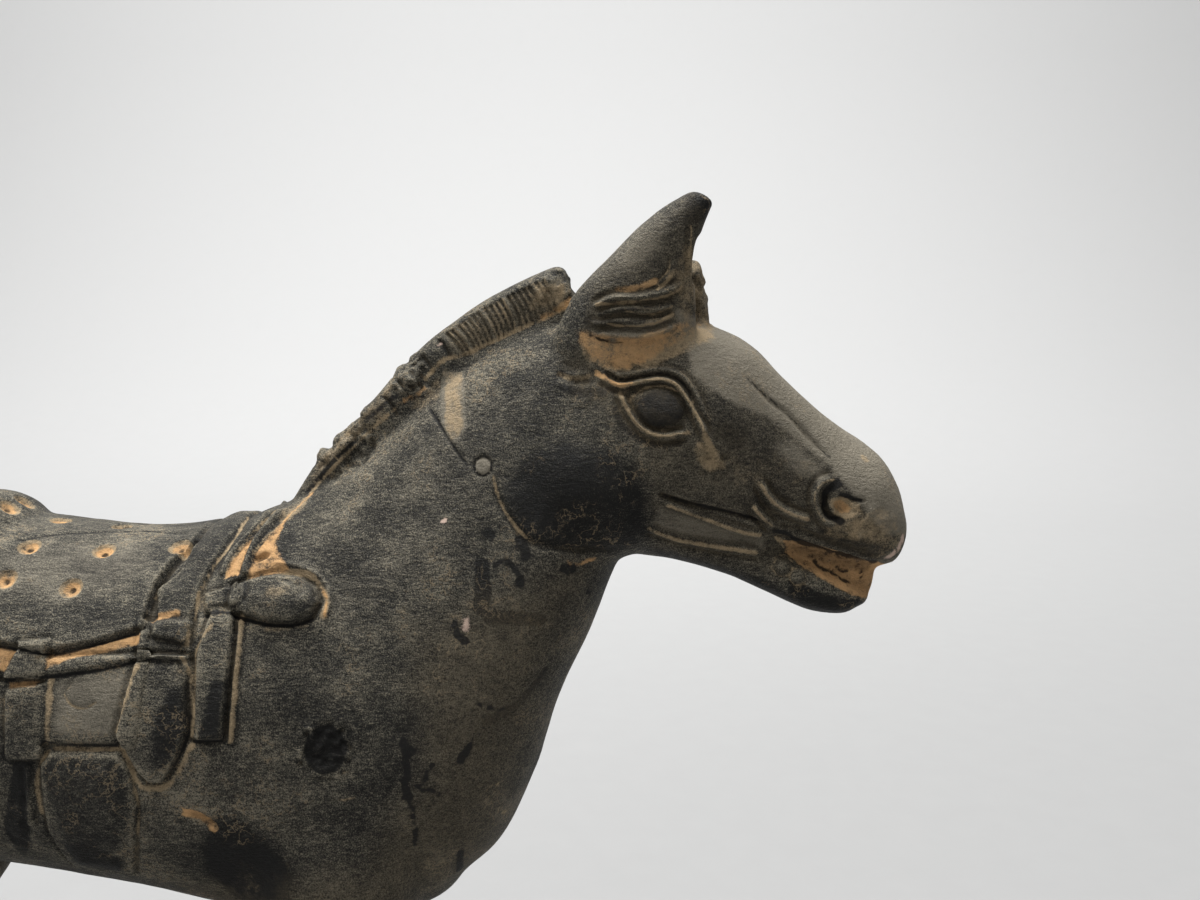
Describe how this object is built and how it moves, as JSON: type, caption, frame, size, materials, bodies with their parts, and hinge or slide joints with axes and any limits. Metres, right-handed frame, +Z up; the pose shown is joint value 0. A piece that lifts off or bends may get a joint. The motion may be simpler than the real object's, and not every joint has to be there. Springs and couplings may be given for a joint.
{
  "type": "clay horse figure",
  "caption": "Saddled horse standing square on a low rectangular slab, moulded and carved in one piece of dark clay.",
  "frame": {"origin": "centre of the slab's underside", "axes": "+X towards the horse's muzzle, +Y towards its left side, +Z up"},
  "size_m": [0.2727, 0.074, 0.2571],
  "materials": {
    "black_slipped_clay": "dull dark grey slip, worn and brushed, with orange earth left in the carving"
  },
  "bodies": {
    "root": {"clay_horse": "black_slipped_clay"}
  },
  "joints": []
}
